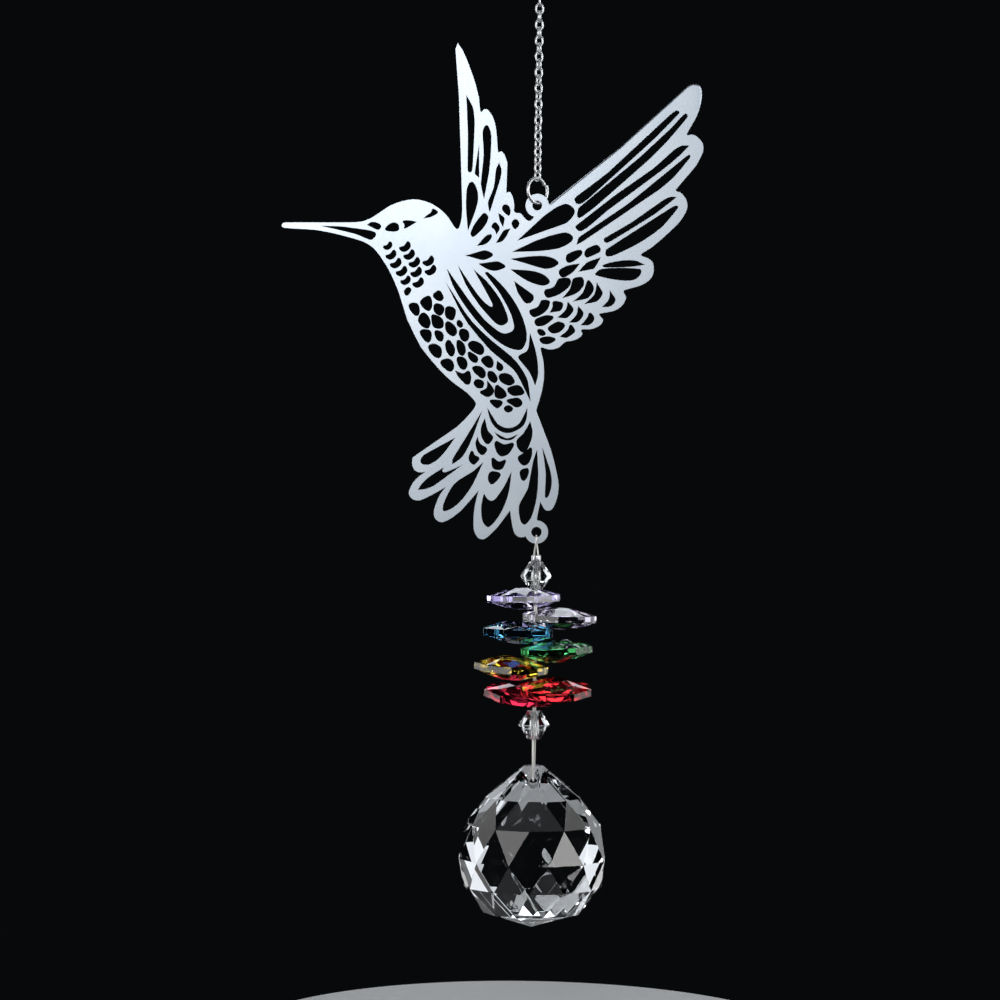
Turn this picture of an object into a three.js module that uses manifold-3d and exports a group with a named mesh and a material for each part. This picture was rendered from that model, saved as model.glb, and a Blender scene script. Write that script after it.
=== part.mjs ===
// Crystal prism suncatcher: a chain, an openwork hummingbird cut from steel sheet, a strand of glass beads
// and a faceted crystal ball. Millimetres, +Z up. The front faces -Y. The origin is the inside top of the
// hanging ring, where the hook bears. The chain hangs on the line x = 0, y = 0 and the beads hang under the
// bird's lower hole.
import * as THREE from "three";
import { ConvexGeometry } from "three/addons/geometries/ConvexGeometry.js";
import { mergeVertices } from "three/addons/utils/BufferGeometryUtils.js";
import Module from "manifold-3d";

const wasm = await Module();
wasm.setup();

// Bird plate
const BIRD_HEIGHT = 102.75;
const PLATE_THICKNESS = 0.6;
const PLATE_LEAN = 0.7;
const TAB_DIAMETER = 4.7;
const UPPER_TAB_HOLE = 2.1;
const LOWER_TAB_HOLE = 2.2;

// What a cut takes beyond its drawn line: in the long quill slits, in most cuts and in the small scales
const QUILL_KERF = 0.04;
const CUT_KERF = 0.12;
const SCALE_KERF = 0.21;

// Hanging ring and cable chain
const HANGER_DIAMETER = 10;
const HANGER_WIRE = 0.8;
const LINK_LENGTH = 2.525;
const LINK_WIDTH = 1.88;
const LINK_WIRE = 0.42;
const LINK_COUNT = 25;
const SQUARE_LINKS = 3;

// Open jump ring between the chain and the bird
const RING_DIAMETER = 5.8;
const RING_WIRE = 0.64;
const RING_TURN = 42;
const RING_GAP_ANGLE = 28;
const RING_GAP = 0.15;
const RING_SPREAD = 0.5;

// Beading wire and its crimp
const WIRE_DIAMETER = 0.35;
const LOOP_DROP = 4.75;
const CRIMP_DIAMETER = 2;
const CRIMP_HOLE = 1.3;
const CRIMP_HEIGHT = 1.3;

// Clear beads and coloured octagons
const CLEAR_WIDTH = 6.4;
const CLEAR_HEIGHT = 5.8;
const CLEAR_FLAT = 2.9;
const BEAD_HOLE = 1.3;
const OCTAGON_WIDTH = 14;
const OCTAGON_THICKNESS = 4.5;
const OCTAGON_RIM = 1.4;
const OCTAGON_TABLE = 4.6;
const OCTAGON_HOLE_PLACE = 5.3;

// From the middle of an octagon's side to its corner, as a share of its half width
const CORNER = 1 / Math.cos(Math.PI / 8);

// Crystal ball
const BALL_WIDTH = 30.8;
const BALL_TOP_FLAT = 4;
const BALL_DROP = 5.5;
const BALL_TURN = -3.6;
const BALL_HOLE = 2.2;
const BALL_HOLE_HEIGHT = 14.2;

// Clearances between pieces that touch
const CONTACT_GAP = 0.05;
const STRAND_GAP = 0.07;

// Most that a faceted edge of the plate departs from its curve
const CHORD_ERROR = 0.16;

// Points tried for each drawn point of a curve
const CURVE_SAMPLES = 12;

// Corners closer than this are one corner.
const MERGE_DISTANCE = 1e-4;

// A sharp tip of a cut is widened at most this many times as far as its sides.
const TIP_LIMIT = 2;

// Sides of round sections and holes, and steps along bent wires
const RING_SIDES = 7;
const RING_STEPS = 20;
const LINK_SIDES = 5;
const LINK_STEPS = 10;
const JUMP_RING_STEPS = 18;
const STRAND_SIDES = 5;
const STRAND_STEPS_PER_SPAN = 2;
const TAB_SIDES = 32;
const TAB_HOLE_SIDES = 20;
const CRIMP_SIDES = 14;
const STONE_SIDES = 8;
const DRILL_SIDES = 8;
const BALL_SIDES = 12;
const BALL_DRILL_SIDES = 14;

// The bird is drawn on a grid of 500 squares from its upper wing tip to the foot of its lower tab, x to the
// right and y down.
const GRID = BIRD_HEIGHT / 500;
const UPPER_TAB = [537.2, 206];
const LOWER_TAB = [536.4, 532.4];

// The ball's rings of corners: radius, height over its middle, and whether the ring is turned half a facet.
const BALL_RINGS = [
  { radius: BALL_TOP_FLAT / 2, height: 0.568 * BALL_WIDTH, turned: false },
  { radius: 0.326 * BALL_WIDTH, height: 0.36 * BALL_WIDTH, turned: true },
  { radius: 0.451 * BALL_WIDTH, height: 0.18 * BALL_WIDTH, turned: false },
  { radius: 0.5 * BALL_WIDTH, height: -0.045 * BALL_WIDTH, turned: true },
  { radius: 0.461 * BALL_WIDTH, height: -0.231 * BALL_WIDTH, turned: false },
  { radius: 0.328 * BALL_WIDTH, height: -0.406 * BALL_WIDTH, turned: true },
  { radius: 0, height: -0.507 * BALL_WIDTH, turned: false },
];

// The octagons from the top down. `swing` is the way the bead points from the strand, in degrees from +X
// towards the back, `lean` tips its right side up and `nod` tips its front down.
const OCTAGONS = [
  { name: "violet", colour: "#7d63c8", swing: 117.5, lean: 1.6, nod: 0 },
  { name: "lavender", colour: "#cdb6e6", swing: 19.6, lean: -1.6, nod: 0 },
  { name: "blue", colour: "#1f86c9", swing: -134, lean: -1.6, nod: 0 },
  { name: "green", colour: "#1c8f3a", swing: -36, lean: 4, nod: 0 },
  { name: "amber", colour: "#e3b21c", swing: -157.4, lean: -3.6, nod: 2 },
  { name: "red", colour: "#d3141d", swing: -38, lean: 0, nod: 9 },
  { name: "dark_red", colour: "#8e0f26", swing: 125, lean: -6, nod: 9 },
];

const degrees = THREE.MathUtils.degToRad;

// Heights of the hanging pieces, from the hook down
const linkPitch = LINK_LENGTH - 2 * LINK_WIRE - CONTACT_GAP;
const linkReach = (LINK_LENGTH - LINK_WIRE) / 2;
const hangerRadius = (HANGER_DIAMETER - HANGER_WIRE) / 2;
const hangerCentre = HANGER_WIRE / 2 - hangerRadius;
const topLink = hangerCentre - hangerRadius + (HANGER_WIRE + LINK_WIRE) / 2 + CONTACT_GAP - linkReach;
const lowestLink = topLink - (LINK_COUNT - 1) * linkPitch;
const ringRadius = (RING_DIAMETER - RING_WIRE) / 2;
const ringCentre = lowestLink - linkReach + (LINK_WIRE + RING_WIRE) / 2 + CONTACT_GAP - ringRadius;
const ringSeat = (UPPER_TAB_HOLE - RING_WIRE) / 2 - PLATE_THICKNESS / 3 - CONTACT_GAP;
const upperHole = ringCentre - ringRadius - ringSeat;
const facing = new THREE.Vector3(0, 0, 1);
const tabToTab = gridPoint(LOWER_TAB[0], LOWER_TAB[1]).applyAxisAngle(facing, degrees(PLATE_LEAN));
const strandLine = tabToTab.x;
const lowerHole = upperHole + tabToTab.y;
const crimpTop = lowerHole - LOOP_DROP;
const crimpFoot = crimpTop - CRIMP_HEIGHT;
const upperBead = crimpFoot - CONTACT_GAP - CLEAR_HEIGHT / 2;

// A point of the bird's grid in millimetres from the upper hole, x to the right and y up.
function gridPoint(x, y) {
  return new THREE.Vector3((x - UPPER_TAB[0]) * GRID, (UPPER_TAB[1] - y) * GRID, 0);
}

function steel(colour, roughness) {
  return new THREE.MeshStandardMaterial({ color: colour, metalness: 1, roughness });
}

function glass(colour) {
  return new THREE.MeshStandardMaterial({ color: colour, metalness: 0, roughness: 0.05 });
}

function piece(name, geometry, material) {
  const mesh = new THREE.Mesh(geometry, material);
  mesh.name = name;
  return mesh;
}

// Makes a geometry a solid that can be joined and cut.
function solidOf(geometry) {
  const plain = geometry.clone();
  plain.deleteAttribute("normal");
  plain.deleteAttribute("uv");
  const merged = mergeVertices(plain, MERGE_DISTANCE);
  return new wasm.Manifold(new wasm.Mesh({
    numProp: 3,
    vertProperties: new Float32Array(merged.attributes.position.array),
    triVerts: new Uint32Array(merged.index.array),
  }));
}

function geometryOf(solid) {
  const mesh = solid.getMesh();
  const geometry = new THREE.BufferGeometry();
  geometry.setAttribute("position", new THREE.BufferAttribute(new Float32Array(mesh.vertProperties), 3));
  geometry.setIndex(new THREE.BufferAttribute(new Uint32Array(mesh.triVerts), 1));
  geometry.computeVertexNormals();
  return geometry;
}

// A round bar along Z, centred on the origin.
function bar(diameter, length, sides) {
  const geometry = new THREE.CylinderGeometry(diameter / 2, diameter / 2, length, sides);
  return geometry.rotateX(Math.PI / 2);
}

// The outer shape of a cut stone: the hull of level rings of corners.
function cutStone(rings, sides) {
  const corners = [];
  for (const ring of rings) {
    const count = ring.radius > 0 ? sides : 1;
    for (let i = 0; i < count; i += 1) {
      const angle = (2 * Math.PI * (i + (ring.turned ? 0.5 : 0))) / sides;
      corners.push(new THREE.Vector3(
        ring.radius * Math.cos(angle),
        ring.radius * Math.sin(angle),
        ring.height,
      ));
    }
  }
  return new ConvexGeometry(corners);
}

// A curve whose steps are shared evenly between its points: tight bends get as many as long straights.
class Route extends THREE.CatmullRomCurve3 {
  getPointAt(u, target) {
    return this.getPoint(u, target);
  }

  getTangentAt(u, target) {
    return this.getTangent(u, target);
  }
}

function wireAlong(points, diameter, sides, stepsPerSpan) {
  const section = new THREE.Shape();
  for (let i = 0; i < sides; i += 1) {
    const angle = (2 * Math.PI * i) / sides;
    const x = (diameter / 2) * Math.cos(angle);
    const y = (diameter / 2) * Math.sin(angle);
    if (i === 0) section.moveTo(x, y);
    else section.lineTo(x, y);
  }
  return new THREE.ExtrudeGeometry(section, {
    extrudePath: new Route(points, false, "centripetal"),
    steps: (points.length - 1) * stepsPerSpan,
    bevelEnabled: false,
  });
}

function hangingRing() {
  const geometry = new THREE.TorusGeometry(hangerRadius, HANGER_WIRE / 2, RING_SIDES, RING_STEPS);
  const ring = piece("hanging_ring", geometry.rotateX(Math.PI / 2), steel("#c9ccd0", 0.25));
  ring.position.z = hangerCentre;
  return ring;
}

// One oval link: a ring whose sections are moved up and down, the more the higher or lower they lie.
function linkGeometry() {
  const bend = (LINK_WIDTH - LINK_WIRE) / 2;
  const stretch = (LINK_LENGTH - LINK_WIDTH) / 2;
  const geometry = new THREE.TorusGeometry(bend, LINK_WIRE / 2, LINK_SIDES, LINK_STEPS);
  geometry.rotateZ(Math.PI / LINK_STEPS);
  const corners = geometry.attributes.position;
  for (let i = 0; i < corners.count; i += 1) {
    const [x, y] = [corners.getX(i), corners.getY(i)];
    corners.setY(i, y + (stretch * y) / Math.hypot(x, y));
  }
  return geometry.rotateX(Math.PI / 2);
}

// Links stand crosswise in turn. Below the first few the chain twists round to the jump ring, less and less.
function chain() {
  const links = new THREE.Group();
  const geometry = linkGeometry();
  for (let i = 0; i < LINK_COUNT; i += 1) {
    const twist = RING_TURN * Math.sqrt(Math.max(0, i + 1 - SQUARE_LINKS) / (LINK_COUNT - SQUARE_LINKS));
    const name = `chain_link_${String(i + 1).padStart(2, "0")}`;
    const link = piece(name, geometry.clone(), steel("#c4c7cb", 0.25));
    link.position.z = topLink - i * linkPitch;
    link.rotation.z = degrees((i % 2 === 0 ? 90 : 0) + twist);
    links.add(link);
  }
  return links;
}

// A wire bent round almost to a ring. Its ends pass each other sideways at the gap.
function jumpRing() {
  const gap = RING_GAP / ringRadius;
  const points = [];
  for (let i = 0; i <= JUMP_RING_STEPS; i += 1) {
    const along = i / JUMP_RING_STEPS;
    const angle = degrees(RING_GAP_ANGLE) + gap / 2 + along * (2 * Math.PI - gap);
    points.push(new THREE.Vector3(
      ringRadius * Math.cos(angle),
      RING_SPREAD * (0.5 - along),
      ringRadius * Math.sin(angle),
    ));
  }
  const ring = piece("jump_ring", wireAlong(points, RING_WIRE, RING_SIDES, 1), steel("#cfd2d6", 0.2));
  ring.position.z = ringCentre;
  ring.rotation.z = degrees(RING_TURN);
  return ring;
}

// Drawing of the bird. A run is a list of x, y pairs that a smooth curve passes through. It starts at a sharp
// corner and ends at the first pair of the next run.
function curveThrough(pairs, closed) {
  const points = [];
  for (let i = 0; i < pairs.length; i += 2) {
    points.push(gridPoint(pairs[i], pairs[i + 1]));
  }
  if (points.length === 2) return points;
  const curve = new THREE.CatmullRomCurve3(points, closed, "centripetal");
  return thinned(curve.getPoints(points.length * CURVE_SAMPLES));
}

// Drops the points of a fine curve that lie within the chord error.
function thinned(points) {
  const first = points[0];
  const last = points[points.length - 1];
  const chord = new THREE.Line3(first, last);
  const nearest = new THREE.Vector3();
  const bent = first.distanceTo(last) > CHORD_ERROR;
  let farthest = 0;
  let at = 0;
  for (let i = 1; i + 1 < points.length; i += 1) {
    if (bent) chord.closestPointToPoint(points[i], true, nearest);
    else nearest.copy(first);
    const distance = nearest.distanceTo(points[i]);
    if (distance > farthest) {
      farthest = distance;
      at = i;
    }
  }
  if (farthest < CHORD_ERROR) return [first, last];
  return [...thinned(points.slice(0, at + 1)), ...thinned(points.slice(at)).slice(1)];
}

function cornered(runs) {
  return runs.flatMap((run, i) => {
    const next = runs[(i + 1) % runs.length];
    return curveThrough([...run, next[0], next[1]], false).slice(0, -1);
  });
}

function rounded(pairs) {
  return curveThrough(pairs, true).slice(0, -1);
}

// Moves the line of a cut outwards by a kerf.
function widened(cut, kerf) {
  const outwards = THREE.ShapeUtils.isClockWise(cut) ? -1 : 1;
  return cut.map((point, i) => {
    const before = point.clone().sub(cut.at(i - 1)).normalize();
    const after = cut[(i + 1) % cut.length].clone().sub(point).normalize();
    const side = before.clone().cross(facing);
    const way = before.clone().add(after).cross(facing).normalize();
    const reach = Math.min(TIP_LIMIT, 1 / Math.max(way.dot(side), 1 / TIP_LIMIT));
    return point.clone().addScaledVector(way, outwards * kerf * reach);
  });
}

// Outline of the bird without its tabs, clockwise from the tip of the beak
const BIRD_OUTLINE = [
  [281.7, 226.8, 283, 224, 290, 223, 330, 222.8, 360, 222.6, 370, 219.5, 390, 206.4, 415, 200.1, 435, 206.5,
    450, 220, 455.5, 229],
  [458, 230.3, 462, 218, 460.8, 170, 459.3, 100, 457, 60, 455.9, 48, 458, 44, 466.5, 60, 473.8, 80, 479, 100,
    480.2, 112],
  [480.5, 113.2, 486, 109.8, 494, 121, 497, 145],
  [498, 153.4, 501.5, 152.2, 507, 163, 506.7, 185],
  [506.2, 194, 509.5, 192.2, 514, 206],
  [514, 213, 520, 214, 528.6, 221.7, 534, 217.5],
  [549.5, 205.5, 580, 181, 620, 148.5, 650, 121.5, 680, 94, 692, 85, 700, 87, 701.3, 100, 697, 115],
  [685.8, 135.8, 694, 135.8, 703, 146, 699.5, 160],
  [674.8, 191, 680, 193, 687.2, 205, 681, 220, 666, 235, 648.5, 250],
  [639.8, 255.5, 652, 262.5, 652, 276.5, 643, 284.5],
  [623, 291, 625.7, 298.2, 618.6, 308.8],
  [598.5, 314.3, 602.8, 322, 593, 328.8],
  [580.5, 330, 582, 335, 572, 341, 566, 341.8, 560, 347, 550, 349.8],
  [540.3, 347.5, 543.5, 365, 543, 385, 536.2, 410],
  [536, 411, 543.8, 430, 553.3, 460, 558.3, 490, 552, 509, 547, 511, 543, 507.5],
  [540.2, 501.5, 538, 513],
  [536.4, 521.5],
  [525.5, 536.3, 518, 536.8, 514, 532, 511, 512],
  [510.2, 510.4, 493, 532, 481.5, 539.7, 475, 533, 474.5, 510],
  [478.8, 490.6, 460, 511.5, 441, 522.3, 434, 516, 440, 495.5],
  [446.3, 487, 427, 497.8, 414.5, 500.3, 409.2, 494.5, 411.3, 486.5, 419, 477],
  [426.3, 472, 416, 471.5, 412.5, 459, 431, 446.3, 461, 424, 475.5, 406.8],
  [476.2, 404, 469.5, 395, 450, 380, 422.8, 350, 407.5, 320, 398, 290, 385, 263.3, 370, 245.3, 350, 237.8,
    320, 230.8, 291, 228.2, 284, 228],
];

// Cuts in the head: the beak's slit, the nostril, the two halves of the eye and the crown mark
const HEAD_CUTS = [
  [[320.5, 226.3, 340, 227.2, 376, 234], [371.4, 240.3, 360, 235.5, 340, 230.5]],
  [[367.5, 225.3, 373.2, 222.6, 381.2, 226.5], [378.6, 230.2, 372.8, 226.8]],
  [[385.2, 230, 390, 224.6, 396.8, 223.8], [398.7, 230.6, 391, 231.6]],
  [[403, 221.8, 409, 221.2, 416.2, 222.6], [404.5, 228.9, 404.8, 225.5]],
  [[432.5, 209.5, 438, 213.2], [436, 214.5, 430, 217.5, 424, 218.7], [427, 216, 431.5, 212.5]],
];

// The throat's crescents: the left end of each, column by column, and its share of the full size
const THROAT_PLACES = [
  [384, 247.2, 0.76], [386.4, 256.5, 0.93], [390.8, 265, 1], [396.6, 273, 1], [401.2, 282, 0.88],
  [400, 248.5, 1], [404.2, 256.5, 1], [409.4, 264.2, 1], [411.2, 273.9, 1], [413.2, 284.4, 1],
  [423.4, 262.8, 1], [425.6, 272, 1],
];
const THROAT_CRESCENT = [[0, 0, 0.7, -1, 4, -1.5, 6.4, -4.4], [8, -5.9, 9.9, -2.6, 8.2, 1, 4.4, 3.1, 1.4, 2]];
const THROAT_END = [405, 291.6, 406, 295.3, 409.4, 293, 410.7, 289.9, 409.1, 288.4];

// Cuts between the breast feathers, row by row, each through its corners
const BREAST_CUTS = [
  [409, 305, 416.5, 303.8, 419.5, 313, 417, 316.2, 412, 312.5],
  [420, 302.5, 429.3, 296.3, 431.8, 303, 431.5, 308, 428.5, 311.2, 424.5, 308.5],
  [432.8, 296.2, 439.6, 291, 443, 299.4, 440, 301.4],
  [435, 304.6, 442.5, 306, 444, 310.6, 440, 316.2, 434, 310.8],
  [446.3, 307.3, 454.5, 309, 454.8, 317, 452, 320.5, 446, 317.2],
  [423, 313, 429, 318, 429.3, 327.5, 425, 328.4, 418.2, 320],
  [432, 315.2, 442.5, 320, 442.5, 327.5, 434.5, 328],
  [446.5, 322, 453.5, 325.2, 456.8, 332, 453, 336.5, 446, 330.5],
  [459, 320.3, 462.8, 326, 461, 328.2, 456.5, 324.5],
  [420, 331.2, 429.8, 331, 431, 339.5, 428.5, 343, 421.8, 337],
  [435, 331.2, 442, 333, 443, 340, 440.5, 342, 435.3, 336.5],
  [460.3, 330.3, 467, 330.5, 468.5, 339, 464.5, 342, 459.2, 335],
  [432, 344.5, 439.8, 347, 441, 356.5, 437.5, 358.4, 428.3, 347.8],
  [448.5, 340.3, 454.8, 350.5, 452, 357, 447.5, 353, 445.5, 344.5],
  [457.5, 340.6, 463.5, 344, 464.8, 354, 461.5, 356, 457.5, 350],
  [471.5, 341.8, 480, 343.8, 484, 350, 481.5, 355.4, 475.5, 353.3, 468, 345.5],
  [440.5, 362, 449, 359.3, 453.7, 365, 451.5, 372, 442, 366],
  [457.3, 357.7, 464.5, 358.5, 467, 366, 463.5, 370.2, 458.3, 365],
  [468.5, 352.3, 477.8, 358.6, 476, 363.4, 469, 358.4],
  [481, 360.5, 488, 356.2, 493.5, 363, 490.5, 368.3, 484, 364.5],
  [497.5, 361.8, 503.5, 367.5, 500.8, 371.6, 496.8, 369],
  [455.5, 371.3, 463.5, 374, 468.5, 371, 470.8, 380, 468, 385, 459, 377.5],
  [472.3, 367.8, 480.3, 367, 485.5, 374, 483, 378.6, 475, 373],
  [488.5, 372.3, 492, 372, 497.3, 379, 494, 383.2, 487.8, 377],
  [499, 375.5, 507.5, 374.2, 514.5, 381.5, 510.8, 385.4, 501, 382],
  [476, 380.3, 483.5, 382, 482.5, 387.6, 478, 388.3, 474, 384.3],
  [487.3, 381.5, 493.7, 392.5, 488, 397, 480, 392.5, 486.8, 388.5],
  [496.5, 385.5, 506.5, 395, 502, 399, 495.5, 397],
  [518.5, 386, 524, 393.5, 512, 395.5, 507.5, 389.5],
  [490, 401, 502.5, 402, 498, 408.3, 491.5, 404],
  [506.8, 401, 519, 399, 522, 404, 517.5, 407.5, 508, 402.5],
  [508.5, 406, 513, 409.3, 508, 413, 503.8, 408.8],
];

// Cuts of the folded wing: the long slit under it, its two hooks, the gap at the rump and two small leaves
const FOLDED_WING_CUTS = [
  [[446, 283, 455, 297, 470, 320, 490, 340, 514, 360, 527, 380],
    [530.5, 401.8, 514, 370, 490, 350, 465.5, 320]],
  [[447, 269.5, 455, 289.5, 478, 322.5, 504, 345.5, 521, 349.6, 526.3, 338, 521, 315, 505, 289.5,
    486.5, 272.7],
    [485.3, 273.5, 501, 295, 512.5, 318, 513.8, 330, 504, 334.3, 487, 323, 463, 293]],
  [[458, 266, 464, 281, 480, 306, 500, 325.5, 507.3, 322, 500, 300, 480, 275],
    [474, 270.5, 482, 286, 493, 305.5, 492, 308.2, 479, 297]],
  [[530, 333.5, 535, 350, 537.8, 370, 536, 384], [535, 385.3, 530, 373, 518.5, 357.5],
    [520, 355.6, 528, 350.5]],
  [[465.8, 256, 474, 253.6, 486, 251.2], [492.8, 255.3, 485, 260, 474, 258.8]],
  [[479, 264.3, 490, 263.5, 499, 262.3], [505.3, 266.8, 496, 271, 486, 268.6]],
];

// Cuts of the raised left wing: its quill slits and the small leaves at its root
const LEFT_WING_CUTS = [
  [[466.5, 96.3, 472, 106, 474.3, 120, 472.5, 160, 471.2, 172], [468, 172, 468.3, 145, 467.8, 120]],
  [[479, 144.5, 479.7, 165, 478.7, 177.8], [475, 174.3]],
  [[484, 199, 481.2, 185.5, 484, 155, 483.6, 129.5, 487, 125.8, 490.3, 132, 489.5, 165, 487, 184]],
  [[489.7, 212.2, 487.9, 205, 494.6, 186, 496.8, 168, 499, 163.8, 501, 169, 499, 184, 494, 200]],
  [[468, 230.5, 466.8, 218, 466.5, 200, 467.8, 187, 471.5, 182.3, 475.3, 186.5, 477.9, 197, 476, 208]],
  [[484, 213.5, 488, 218, 480, 231.5], [472.5, 237.3, 471, 236, 474, 226]],
  [[501.8, 209, 506, 205, 510, 210], [508.8, 216]],
  [[498.7, 214, 503.8, 218], [503, 227, 500, 221]],
  [[491.5, 227.3], [495.3, 222.8, 499.3, 228.8], [496.5, 234.3], [494.5, 229.8]],
  [[515, 219.7, 519.3, 223, 515.3, 229.5], [512, 223.3]],
  [[477.5, 246, 482.6, 240.4, 488, 235.4], [491.4, 235.2, 490, 240.3, 484, 244.8]],
  [[496.5, 243, 500.6, 236, 505, 230.3], [509.8, 229.4, 506.6, 236.3, 501.5, 241.7]],
];

// The fan of drops between the wings, each with one sharp end at its root
const FAN_CUTS = [
  [[517.5, 241, 530, 229.5, 550, 212.3, 566, 204.8, 574.3, 211, 568, 222, 540, 232.5]],
  [[512.3, 252.3, 530, 243.8, 550, 236.7, 567, 233.6, 572.8, 238.6, 563, 247, 530, 252]],
  [[510.7, 259.4, 530, 257.2, 550, 257.8, 558.5, 263.5, 548, 269, 530, 265.6]],
  [[511, 270, 526, 271, 542, 274.7, 549.8, 282, 544, 285.7, 526, 280.2]],
  [[514.5, 282, 523, 288, 533.6, 297.4, 528, 304, 519, 294.6]],
];

// Two slits in each of the right wing's long quills
const QUILL_CUTS = [
  [[574.1, 198.8, 600, 179.7, 640, 144, 677, 111], [680, 113, 660, 134, 620, 170.3, 578.1, 204.8]],
  [[578.2, 208.6, 600, 191.3, 640, 157.3, 670, 129.5, 686.2, 113.8],
    [688, 117, 660, 149.6, 620, 185.5, 578.1, 218.8]],
  [[574.8, 227, 618.6, 193, 654.3, 168, 675, 149.5, 683, 145.8],
    [689.4, 146, 683, 153, 663, 170, 636.4, 190.5, 609.6, 209.5, 580, 231.8]],
  [[578.5, 237.9, 620, 210, 650, 187, 690, 155],
    [690.2, 157.7, 670, 181.5, 640, 203.3, 600, 230, 576, 245.3]],
  [[603.2, 239.4, 627.5, 225.2, 654.3, 207.3, 664, 200, 671, 197.2],
    [676.8, 197.6, 670.5, 203.2, 654.3, 215, 629.3, 230.2, 605, 243.6]],
  [[606, 250, 640, 229, 677, 205.8], [678.3, 208, 662, 227.5, 640, 243, 606, 257]],
  [[602.5, 265.5, 620, 261.2, 636, 261.2], [644.8, 265.3, 636, 266.8, 602, 267]],
  [[594.5, 275.3, 599.5, 270.2, 641, 270.3], [641.3, 273, 635, 280, 620, 280.8, 602, 277.5]],
];

// Short feathers under the quills, then the scales from the wing down to the rump, row by row
const COVERT_CUTS = [
  [[567.5, 255.8, 580, 251.2], [581.8, 253, 576, 259.2, 567.3, 262.3]],
  [[586.1, 251, 597.4, 246.2], [599.8, 251.4, 586.1, 257]],
  [[559.3, 271.8, 567, 267, 578.6, 265], [573, 271.5, 562, 277.3]],
  [[579.6, 271.6, 586.6, 264, 599.6, 258.8], [593.4, 268.4, 584.4, 270.8]],
  [[545, 291.3, 554, 288, 558.5, 280.3], [569, 279.3, 570, 284, 560.3, 293.3, 547, 297.2]],
  [[563.2, 297.8, 570.5, 289.8, 573.5, 280], [581.5, 278.2, 583, 285, 576, 293]],
  [[573.9, 301.5, 583, 294, 588.5, 281.3], [593, 289.5, 588, 297.5]],
  [[585.3, 304, 595, 295.4, 597, 284.3], [601.8, 293.5, 597, 300.8]],
  [[603.3, 306.8, 609.8, 299.5, 610, 291.8], [615, 300.5, 609.5, 306.3]],
  [[530, 311.5, 539, 307, 542, 301.5], [549, 302, 547, 309, 533.5, 317]],
  [[550.8, 312.2, 553.3, 307, 553.5, 302.5], [562.3, 304, 560.5, 310]],
  [[558.8, 317.5, 567, 309.5, 568, 303.5], [573, 310, 566, 317.8]],
  [[570.3, 322.4, 577.5, 314.5, 578.5, 307.5], [583, 314, 577, 321.8]],
  [[582, 325, 588.7, 317, 590, 314], [593.8, 319, 589, 324.5]],
  [[535.3, 320.8, 548, 316.3], [552.5, 317.8, 547, 323.3, 537.4, 325.8]],
  [[548.5, 328.6, 555, 325.6, 558.5, 322.8], [564.3, 325.5, 559, 332, 552, 332.8]],
  [[561, 336.5, 568.5, 330.5, 570.8, 326], [574.5, 331.5, 565, 337.8]],
  [[538.3, 330.5, 542.5, 331], [544.8, 334.4, 540, 335.3]],
  [[540.3, 339.5, 550.5, 337.8], [554.5, 339.8, 548.5, 343.8, 542, 342.8]],
];

// Cuts of the tail: its quill slits, then the two arcs at its root
const TAIL_CUTS = [
  [[454.5, 438.5, 438, 448, 422, 457.6, 421.2, 463.6, 430, 464.2, 442.6, 454.4]],
  [[482, 411.5, 475, 422.5, 459, 450.5, 452, 461.5], [452.5, 464, 462, 457, 472, 438]],
  [[462.3, 465.3, 452, 470, 444, 473.2], [442, 471.5],
    [443.6, 468.2, 430, 477, 418.5, 489.8, 430, 487.6, 445, 478.5]],
  [[482.8, 463.3, 474, 471.5, 455, 484, 446, 499, 443.3, 511, 456, 505.5, 471, 487]],
  [[484, 494.5, 481.5, 508, 483.5, 523, 488, 527, 500, 514, 508.5, 492],
    [511.3, 472.5, 505, 486, 493, 501.4, 487, 499.5]],
  [[537, 450.5, 538, 470, 536, 500, 529.5, 520, 523.5, 524.5, 519.6, 516],
    [519.5, 505.5, 528.5, 488, 533.8, 460]],
  [[542.3, 448, 550.3, 473, 551, 488, 546.2, 498.4], [545.3, 497.4, 545.4, 488, 546, 473]],
  [[487.5, 408.5, 490, 418.5, 497.5, 429.5, 509, 433, 524, 424.5],
    [527.3, 408.5, 519, 424.5, 508.5, 428.8, 498, 425]],
  [[494.5, 432.8, 501, 439, 511, 440], [517.5, 434.8, 507, 439.2]],
];

// Scales over the root of the tail
const TAIL_SCALES = [
  [485, 419, 487.5, 431, 492.8, 438.3, 487, 444.6, 481, 432],
  [477.5, 437.5, 479.8, 444, 487, 449.2, 482, 455.5, 476, 446],
  [472, 451.3, 475, 456, 479.3, 458.3, 473.5, 464.6, 469, 459.5],
  [495.8, 441.5, 504, 445, 513.5, 443.8, 507, 455, 500, 456, 495, 446.5],
  [492.5, 458.3, 499, 462.2, 505.5, 460.5, 501, 469.6, 493.5, 468.5],
  [490.3, 472.3, 500.5, 474.5, 491.5, 484.7, 488.3, 478.5],
  [530, 422.3, 532, 436, 524.5, 452.4, 519.5, 450.5, 517, 441, 524, 433.4],
  [530.8, 448, 531.4, 456.4, 525, 465.8, 517.6, 458.6, 524, 453.5],
  [520.4, 471.6, 528, 468.8, 527, 477.5, 523.5, 481.2, 520, 475],
];

function throatCuts() {
  const cuts = [rounded(THROAT_END)];
  for (const [left, top, size] of THROAT_PLACES) {
    const placed = (run) => run.map((value, k) => value * size + (k % 2 === 0 ? left : top));
    cuts.push(cornered(THROAT_CRESCENT.map(placed)));
  }
  return cuts;
}

// The area inside a closed line of the drawing
function area(line) {
  return new wasm.CrossSection([line.map(({ x, y }) => [x, y])], "NonZero");
}

function disc(centre, diameter, sides) {
  return wasm.CrossSection.circle(diameter / 2, sides).translate([centre.x, centre.y]);
}

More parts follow.
